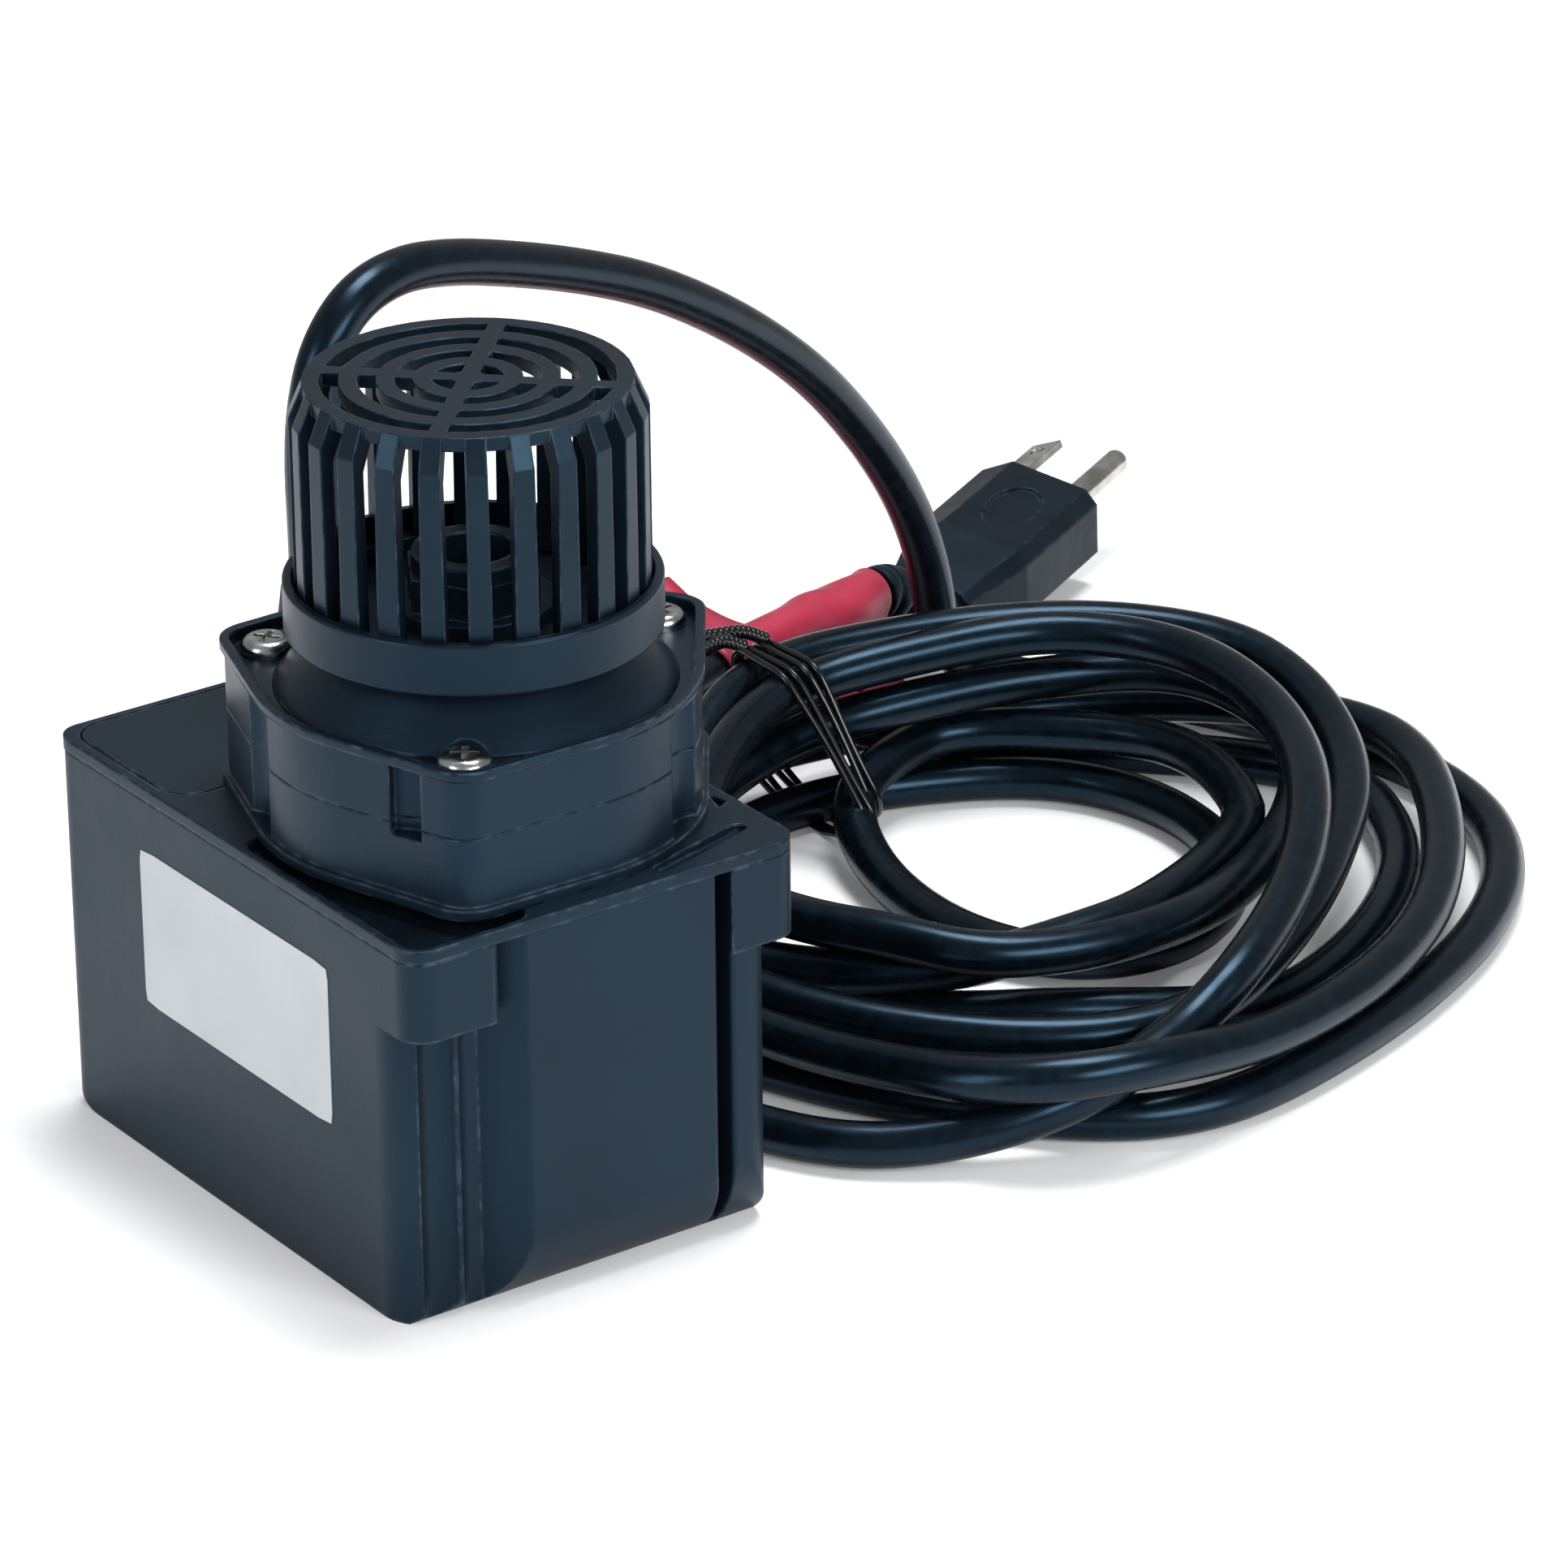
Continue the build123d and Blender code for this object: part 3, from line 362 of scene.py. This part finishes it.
cordRoute = {  # points of the curve in mm, in order from the gland to the plug; each turn ends near the ties
    "leadPoints": [
        (4.5, 37, 85.1), (4.5, 37, 94.5), (4.1, 36.8, 104.5), (4.9, 37.1, 114.5), (8.2, 38.1, 123.7),
        (15.5, 40.2, 130.2), (26, 43.3, 132), (38.5, 46.9, 129.5), (52.5, 51, 124.8), (69, 55.9, 118.5),
        (86, 60.9, 110.8), (102, 65.6, 101.4), (117, 70.2, 90.9), (130.2, 74.1, 79.8), (141.4, 77.8, 68),
        (151.4, 81.3, 55.6), (159.6, 84.6, 42.8), (165.4, 87.2, 29.5), (168.6, 89.4, 16.5), (175.5, 90, 7.5)],
    "floorTurn": [
        (187, 83, 4.2), (199, 69, 4), (211, 42, 4), (218, 16, 4), (215, -8, 4),
        (203, -28, 4), (184, -44, 4), (160, -56, 4), (136, -64, 4), (112, -68.9, 4),
        (96.1, -65.9, 3.9), (84.1, -56.9, 3.9), (74.1, -45.9, 3.9), (64.1, -31.9, 3.9), (56.1, -13.9, 3.9),
        (50.1, 6.2, 3.9), (54, 28.3, 3.9), (66, 46.4, 3.9), (86, 58.4, 3.9), (104, 64.3, 3.9),
        (121, 66.2, 3.9)],
    "holeTurn": [
        (138, 63.1, 4), (159, 53.1, 4), (169, 40, 4), (172, 24, 4), (169, 8, 4),
        (159.9, -6.1, 4), (145.9, -16.1, 4.1), (129.9, -17.2, 4.1), (117.8, -9.2, 4.1), (111.8, 4.7, 4.2),
        (111.7, 21.6, 4.2), (114.6, 37.4, 5.8), (120.5, 51.2, 9), (132.4, 58.9, 11.6)],
    "innerTurn": [
        (151.3, 61.8, 12.7), (173.5, 38, 13.5), (175.8, 23.2, 14.3), (171.7, 7.7, 14.1), (163.6, -5.1, 14.9),
        (148.3, -14, 14.9), (135.5, -19.9, 15.4), (124.2, -23.8, 15.9), (113.7, -24.4, 16), (99.8, -22.8, 15.2),
        (88.5, -20.2, 14.9), (75.8, -10, 13.8), (67.5, 4.4, 12.4), (65.1, 21, 10.8), (67.6, 36.5, 10),
        (76.2, 49.5, 10.4), (90.6, 58.1, 12.7), (105.5, 63.1, 16.1), (122, 66.2, 17.7)],
    "upperInnerTurn": [
        (133.6, 60.2, 21), (160.4, 55.1, 21.5), (189.2, 45.8, 19.8), (196.1, 28.5, 16), (190.1, 12.1, 14.2),
        (174.2, -5.6, 14.4), (154, -20.7, 15.6), (132.5, -32.6, 17.9), (115.1, -35.7, 19.2), (99.8, -33.9, 19.8),
        (87.4, -28.1, 20.6), (80.2, -16.4, 21.7), (73.3, -3.2, 21.1), (70.6, 11.9, 20.2), (72.9, 27, 20.7),
        (81.2, 40.9, 22.5), (93.5, 51.8, 25.5), (106.6, 60.2, 27.1), (120.6, 64.7, 27.7)],
    "topTurn": [
        (136.6, 61.1, 29.4), (158.8, 55.5, 30.5), (170.9, 46.7, 30.7), (178.9, 32.8, 30.6), (179, 15.9, 30.7),
        (174, -3, 29.8), (164, -21, 28.9), (151, -36, 26), (136, -48, 23), (120, -57, 20),
        (109, -59, 15), (97, -62, 13), (83, -63, 10.5), (70, -58.4, 7), (58.1, -50.9, 4.5),
        (49.1, -42.9, 4), (42.1, -29.8, 3.9), (37.7, -13.7, 3.9), (36.8, 2.4, 3.9), (38.4, 19.5, 4.2),
        (43.5, 36.7, 4.6), (53.6, 55, 6.4), (68.8, 68.3, 8.2), (87, 74.8, 9.9), (105.3, 77, 10.5),
        (122.5, 77.3, 10)],
    "outerTurn": [
        (144.6, 76.7, 8.8), (166.4, 70.8, 8.3), (188.2, 59.1, 8.8), (203.9, 41.6, 10.1), (211.7, 20.2, 11.8),
        (208.6, 2.9, 12.5), (199.4, -13.3, 12.6), (186.3, -30.5, 12.2), (170.3, -45.6, 11.8), (152.2, -56.7, 11.8),
        (133.2, -63.7, 11.9), (113.1, -68.8, 13.4), (92.1, -70.8, 16.9), (77.1, -66.8, 16.9), (67.1, -55.8, 14.9),
        (62.1, -40.7, 12.9), (57.1, -26.6, 11.8), (53, -11.5, 11.8), (49.9, 5.7, 11.7), (52.8, 26, 11.5),
        (61.9, 45.4, 12.4), (78, 60, 14.4), (97.9, 68.2, 17.8), (121.2, 75.4, 20)],
    "lowTurn": [
        (150.4, 67.1, 8), (180.4, 50.9, 3.9), (197.5, 32.8, 3.8), (204.5, 12.8, 4.7), (193.6, -11.1, 4.5),
        (177.8, -26.9, 4.3), (158, -38.6, 4), (136.3, -46.3, 4.5), (118.6, -42, 7), (100.1, -33.6, 9.2),
        (90.7, -25.2, 7.9), (82.4, -14.9, 6.7), (76.7, -0.2, 7.8), (72.8, 15, 8.6), (73.7, 28.9, 10.2),
        (78.9, 42.9, 14.8), (89.6, 57, 20.8), (104.9, 68.3, 26.3), (121.5, 74.2, 28.1)],
    "shoulderTurn": [
        (143.3, 71.1, 28.1), (165.2, 64.1, 28), (182.1, 52, 28), (194, 34.9, 27.1), (193.9, 16.9, 25.1),
        (188.9, 0.8, 22.1), (179.8, -13.3, 20.2), (167.7, -24.4, 18.3), (153.6, -35.6, 16.4), (138.4, -43.8, 13.6),
        (121.3, -51, 11.7), (105.1, -51.2, 10.8), (88.8, -43.4, 11), (76.3, -31.7, 11.4), (65.7, -16, 11.9),
        (58.7, 2.7, 12.7), (58.8, 21.5, 14.7), (65.4, 39.5, 17.5), (77.4, 55.7, 22), (89.1, 69.1, 24.2)],
    "tailPoints": [
        (101.7, 79.1, 23.4), (115.2, 87.1, 22.3), (128.6, 92.1, 21.9), (141.5, 96.6, 21.2), (153.8, 100.8, 20.4),
        (166, 105, 19.5)]}

cordShape = {"radius": 3.85, "roundness": 6, "steps": 9, "order": 3}  # radius in mm
cordCurve = bpy.data.curves.new("mainsCord", "CURVE")
cordCurve.dimensions = "3D"
cordCurve.bevel_depth = cordShape["radius"] * mm
cordCurve.bevel_resolution = cordShape["roundness"]
cordCurve.resolution_u = cordShape["steps"]
cordCurve.use_fill_caps = True
routePoints = [place for turn in cordRoute.values() for place in turn]
spline = cordCurve.splines.new("NURBS")
spline.points.add(len(routePoints) - 1)
for point, (x, y, z) in zip(spline.points, routePoints):
    point.co = (x * mm, y * mm, z * mm, 1.0)
spline.order_u = cordShape["order"]
spline.use_endpoint_u = True
spline.use_smooth = True
mainsCord = bpy.data.objects.new("mainsCord", cordCurve)
bpy.context.collection.objects.link(mainsCord)
dress(mainsCord, cordVinyl)
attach(mainsCord, "root")
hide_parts("cord_lead", "cord_coil", "cord_tail")
print("cord laid:", len(routePoints), "points")


tieShape = {"wire": 0.62, "apart": 0.85, "reach": 4.55, "floor": 0.7, "lean": 5.5, "leanFrom": 9.0, "leanOver": 24.0,
            "leastLean": -0.4, "wave": 0.3, "waves": 3, "angles": 360, "points": 150, "sides": 12, "twist": 1.02,
            "spread": 1.25, "endSteps": 40, "passes": 2}  # lengths in mm; spread is how far the twist opens at its tip


def tieOutline(strands):
    # hull of equal circles round the strands: at each angle the strand lying farthest that way, plus the reach
    angle = np.linspace(0, 2 * math.pi, tieShape["angles"], endpoint=False)
    way = np.stack([np.cos(angle), np.sin(angle)], -1)
    hull = strands[np.argmax(way @ strands.T, 1)] + way * tieShape["reach"]
    hull = np.vstack([hull, hull[:1]])
    run = np.concatenate([[0], np.cumsum(np.linalg.norm(np.diff(hull, axis=0), axis=1))])
    even = np.linspace(0, run[-1], tieShape["points"], endpoint=False)
    line = np.stack([np.interp(even, run, hull[:, k]) for k in (0, 1)], -1)
    for _ in range(tieShape["passes"]):  # rounds the corners
        line = (np.roll(line, 1, 0) + line * 2 + np.roll(line, -1, 0)) / 4
    return line


def tieLoop(x, strands, side):
    # the outline stood up across x, leaning with height, with a slow wave along it; never below the floor
    line = tieOutline(np.array(strands, float))
    height = np.maximum(line[:, 1], tieShape["floor"])
    share = np.clip((height - tieShape["leanFrom"]) / tieShape["leanOver"], tieShape["leastLean"], 1)
    turn = np.linspace(0, 2 * math.pi, len(line), endpoint=False)
    wave = tieShape["wave"] * np.sin(turn * tieShape["waves"] + side)
    return np.stack([x - tieShape["lean"] * share + side + wave, line[:, 0], height], -1)


def roundWire(name, line, closed=False):
    points = carryProfile(line, ring(tieShape["wire"], tieShape["sides"]), closed=closed)
    return gridMesh(name, (points if closed else capEnds(points)) * mm, closeU=closed, closeV=True,
                    material=tieVinyl)


def twistedEnds(name, points, turns):
    # two wires wound round each other along a drooping line, each carried along a helix
    line = smoothLine(points, tieShape["endSteps"])
    angle = np.linspace(0, 2 * math.pi * turns, len(line))
    loose = np.linspace(1.0, tieShape["spread"], len(line))[:, None]
    wires = []
    for half in (0, math.pi):
        offset = carryProfile(line, np.array([[tieShape["wire"] * tieShape["twist"], 0.0]]), angle + half)[:, 0]
        wires.append(roundWire(name, line + (offset - line) * loose))
    return wires


def joined(name, things):  # one object from several, keeping the first one's material
    for thing in bpy.context.view_layer.objects:
        thing.select_set(False)
    for thing in things:
        thing.select_set(True)
    bpy.context.view_layer.objects.active = things[0]
    bpy.ops.object.join()
    things[0].name = name
    return things[0]


tieSpots = {  # x of each tie, the y and z of the strands that it holds, and the line of its twisted ends, in mm
    "wireTieNear": {"node": "twist_tie_near", "x": 120.5, "turns": 7.5,
                    "strands": [(65.6, 3.9), (49.2, 8.6), (65.1, 17.8), (63.6, 27.7), (77.2, 10.1), (73.4, 18.5),
                                (72.8, 27.7), (73, 28)],
                    "ends": [(115.4, 74.2, 32.6), (113.2, 77.5, 33.2), (111.6, 81.5, 30.6), (110.6, 84.2, 28.8)]},
    "wireTieFar": {"node": "twist_tie_far", "x": 124.8, "turns": 8.5,
                   "strands": [(65.3, 3.9), (53.6, 9.8), (64.5, 18.6), (63.5, 28.1), (77.2, 9.8), (73.3, 17.6),
                               (73.1, 28.0), (73.2, 28)],
                   "ends": [(119.6, 73.6, 33.2), (117.0, 77.5, 34.0), (113.8, 82.5, 32.4), (110.8, 86.8, 30.8)]}}
for name, spot in tieSpots.items():
    wires = [roundWire(name, tieLoop(spot["x"], spot["strands"], side), True)
             for side in (-tieShape["apart"], tieShape["apart"])]
    tie = welded(joined(name, wires + twistedEnds(name, spot["ends"], spot["turns"])))
    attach(tie, "root")
    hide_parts(spot["node"])
print("ties made")


tagShape = {"thick": 0.4, "wrap": 5.0, "pinch": 0.86, "lip": 12.5, "lowest": (0.25, 0.7), "around": 40,
            "across": 15, "steps": (12, 8), "crumple": 0.5, "seed": 0.4}  # lengths in mm; flag first, then sleeve
tagFolds = [(1.0, 9, 2.2, 1), (0.6, 21, -5, 2), (0.4, 5, 13, 0)]  # size, waves along and across, share of the seed
sleeveFolds = [(0.035, 11, 2, 0), (0.02, 23, -3, 0)]


def foldSum(folds, u, v, seed=0.0):
    return sum(size * np.sin(along * u + across * v + share * seed) for size, along, across, share in folds)


def thicken(sheet):
    wall = sheet.modifiers.new("wall", "SOLIDIFY")
    wall.thickness = tagShape["thick"] * mm
    wall.offset = 1.0
    return sheet


def tagSheet(name, outline):
    # a strip between two edge lines, its height a sum of sine folds scaled by crumple; never below the floor
    left, right = (smoothLine(edge, tagShape["steps"][0]) for edge in outline)
    share = np.linspace(0, 1, tagShape["across"])[None, :, None]
    points = left[:, None] * (1 - share) + right[:, None] * share
    u = np.linspace(0, 1, points.shape[0])[:, None]
    v = np.linspace(0, 1, points.shape[1])[None, :]
    fold = tagShape["crumple"] * foldSum(tagFolds, u, v, tagShape["seed"])
    points[..., 2] = np.maximum(points[..., 2] + fold, tagShape["lowest"][0])
    return thicken(gridMesh(name, points * mm, material=tagVinyl))


tagEdges = [[(131, 170, 1.2), (127, 155, 0.8), (124, 139, 0.5), (141, 124, 0.5), (146, 104, 0.5), (147, 84, 0.5),
             (150, 67, 0.5)],
            [(160.5, 162.5, 4.0), (161, 152, 2.5), (163, 141, 1.5), (175, 127, 0.8), (172, 104, 0.5),
             (168, 80, 0.5), (160.5, 61.5, 0.5)]]
tagFlat = tagSheet("tagFlat", tagEdges)
sleeveLine = [(118, 88.2, 22.1), (128.6, 92.1, 21.9), (140.5, 96.3, 21.4), (147, 98.7, 21.0), (153.8, 100.8, 20.5),
              (160.5, 103.2, 20.0), (164.5, 104.6, 19.6)]


def tagWrap(name):
    # vinyl folded round the cord: a flattened teardrop section carried along the cord, its lower lips pressed
    # together and hanging to the floor, rumpled along its length
    line = smoothLine(sleeveLine, tagShape["steps"][1])
    turn = np.linspace(0, 2 * math.pi, tagShape["around"], endpoint=False)
    drop = np.maximum(0.0, -np.sin(turn)) ** 3
    width = tagShape["wrap"] * np.cos(turn) * (1 - tagShape["pinch"] * drop)
    height = tagShape["wrap"] * np.sin(turn) - drop * tagShape["lip"]
    points = carryProfile(line, np.stack([width, height], -1))
    swell = 1 + foldSum(sleeveFolds, np.linspace(0, 1, points.shape[0])[:, None], turn[None, :])
    middle = line[:, None]
    points = middle + (points - middle) * swell[..., None]
    points[..., 2] = np.maximum(points[..., 2], tagShape["lowest"][1])
    return thicken(gridMesh(name, points * mm, closeV=True, material=tagVinyl))


tagSleeve = tagWrap("tagSleeve")
for piece in (tagFlat, tagSleeve):
    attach(piece, "root")
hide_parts("cord_tag")
print("tag made")


labelShape = {"y": (-28.3, 26.2), "z": (27.3, 54.3), "corner": 1.2, "thick": 0.12, "x": -36.0, "sunk": 0.05,
              "around": 96, "rings": 12, "first": 0.001}  # mm; sunk: its skirt in the wall; first: share of ring one
tiny = 1e-6  # keeps divisions clear of nought


def labelSheet(name):
    # rounded rectangle: rings of a polar grid stretched to a rectangle, whose corners are pulled in to arcs
    angle = np.linspace(0, 2 * math.pi, labelShape["around"], endpoint=False)
    reach = np.linspace(labelShape["first"], 1, labelShape["rings"])[:, None]
    corner = labelShape["corner"]
    halfY, halfZ = ((labelShape[axis][1] - labelShape[axis][0]) / 2 for axis in "yz")
    c, s = np.cos(angle), np.sin(angle)
    edge = np.minimum(halfY / np.maximum(abs(c), tiny), halfZ / np.maximum(abs(s), tiny))
    y = np.clip(c * edge, -halfY + corner, halfY - corner)
    z = np.clip(s * edge, -halfZ + corner, halfZ - corner)
    dy, dz = c * edge - y, s * edge - z
    pull = np.minimum(1, corner / np.maximum(np.hypot(dy, dz), tiny))
    y, z = y + dy * pull, z + dz * pull
    x = np.full((labelShape["rings"], labelShape["around"]), labelShape["x"] - labelShape["thick"])
    points = np.stack([x, sum(labelShape["y"]) / 2 + reach * y, sum(labelShape["z"]) / 2 + reach * z], -1)
    skirt = points[-1:].copy()
    skirt[..., 0] = labelShape["x"] + labelShape["sunk"]
    return welded(gridMesh(name, np.concatenate([points, skirt]) * mm, closeV=True, material=labelFilm,
                           smooth=False))


blankLabel = labelSheet("blankLabel")
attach(blankLabel, "root")
print("label made")


threadShape = {"axisX": 23.7, "axisZ": 78.1, "y": (27.0, 37.6), "radius": 6.72, "pitch": 1.41, "deep": 0.62,
               "perTurn": 40, "runOut": 2.2, "leastDeep": 0.05, "halfWidth": 0.8,
               "ridge": [(-0.62, -0.12), (-0.08, 1.0), (0.08, 1.0), (0.62, -0.12)]}  # mm; runOut in radians


def pipeThread(name):
    # ridge with sloped flanks carried on a helix round the spout, fading out at both ends
    pitch = threadShape["pitch"]
    turns = (threadShape["y"][1] - threadShape["y"][0]) / pitch
    angle = np.linspace(0, 2 * math.pi * turns, int(turns * threadShape["perTurn"]))
    fade = np.clip(np.minimum(angle, angle[-1] - angle) / threadShape["runOut"], threadShape["leastDeep"], 1)
    section = np.array(threadShape["ridge"])
    radius = threadShape["radius"] + section[None, :, 1] * threadShape["deep"] * fade[:, None]
    y = threadShape["y"][0] + angle[:, None] / (2 * math.pi) * pitch
    y = y + section[None, :, 0] * pitch * threadShape["halfWidth"]
    points = np.stack([threadShape["axisX"] + radius * np.cos(angle)[:, None], y,
                       threadShape["axisZ"] + radius * np.sin(angle)[:, None]], -1)
    return welded(gridMesh(name, capEnds(points) * mm, closeV=True, material=mouldedVolute))


spoutThread = pipeThread("spoutThread")
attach(spoutThread, "root")
print("thread made")


studio = {"floor": "#fbfbfb", "floorSize": 6.0, "sky": 0.3, "floorLift": 0.1}  # sky and floorLift are strengths


def paleFloor():
    # pale matt board, lifted a little for camera rays alone, so that it keeps the object's shadow
    material, tree, _ = startMaterial("paleFloorBoard")
    path = addNode(tree, "LightPath")
    lift = addNode(tree, "Math", {"operation": "MULTIPLY"}, {0: path.outputs["Is Camera Ray"],
                                                             1: studio["floorLift"]}).outputs["Value"]
    matt = addNode(tree, "BsdfDiffuse", inputs={"Color": linearColour(studio["floor"])})
    glow = addNode(tree, "Emission", inputs={"Color": linearColour(white), "Strength": lift})
    both = addNode(tree, "AddShader", inputs={0: matt.outputs["BSDF"], 1: glow.outputs["Emission"]})
    addNode(tree, "OutputMaterial", inputs={"Surface": both.outputs["Shader"]})
    half = studio["floorSize"] / 2
    corners = np.array([[(-half, -half, 0), (half, -half, 0)], [(-half, half, 0), (half, half, 0)]], float)
    board = gridMesh("studioFloor", corners[:, ::-1], material=material, smooth=False)


paleFloor()
world = bpy.data.worlds.new("studioSky")
bpy.context.scene.world = world
world.use_nodes = True
skyTree = world.node_tree
skyTree.nodes.clear()
rays = addNode(skyTree, "LightPath")
strength = rescale(skyTree, rays.outputs["Is Camera Ray"], (0.0, 1.0), (studio["sky"], 1.0))
sky = addNode(skyTree, "Background", inputs={"Color": linearColour(white), "Strength": strength})
addNode(skyTree, "OutputWorld", inputs={"Surface": sky.outputs["Background"]})


lampColour = linearColour("#fafcff")[:3]
softBoxes = {  # place and target in metres, width and height in metres, power in watts
    "keyBox": ((0.35, 0.1, 1.35), (0.06, 0.0, 0.05), (0.7, 0.45), 16),
    "frontBox": ((0.15, -1.45, 0.75), (0.03, 0.0, 0.05), (1.0, 0.5), 17),
    "leftBox": ((-1.35, -0.1, 0.6), (0.0, 0.0, 0.05), (0.5, 0.9), 8.5)}
for name, (place, target, size, power) in softBoxes.items():
    lamp = bpy.data.lights.new(name, "AREA")
    lamp.shape = "RECTANGLE"
    lamp.size, lamp.size_y = size
    lamp.energy = power
    lamp.color = lampColour
    box = bpy.data.objects.new(name, lamp)
    box.location = place
    box.rotation_euler = (Vector(target) - Vector(place)).to_track_quat("-Z", "Y").to_euler()
    bpy.context.collection.objects.link(box)

view = {"place": (-0.5725206, -0.8949270, 0.5459844), "right": (0.81023611, -0.58605237, -0.00775011),
        "up": (0.2479987, 0.33082514, 0.91052258), "ahead": (0.53104998, 0.7396603, -0.4133867),
        "lens": 170.73, "film": 36.0, "clip": (0.05, 20)}  # place and clip in metres, lens and film in mm
lensData = bpy.data.cameras.new("viewCamera")
lensData.lens = view["lens"]
lensData.sensor_width = view["film"]
lensData.sensor_fit = "HORIZONTAL"
lensData.clip_start, lensData.clip_end = view["clip"]
viewCamera = bpy.data.objects.new("viewCamera", lensData)
axes = Matrix((view["right"], view["up"], tuple(-a for a in view["ahead"]))).transposed().to_4x4()
viewCamera.matrix_world = Matrix.Translation(view["place"]) @ axes
bpy.context.collection.objects.link(viewCamera)
bpy.context.scene.camera = viewCamera
bpy.context.scene.view_settings.view_transform = "Standard"
print("studio set")
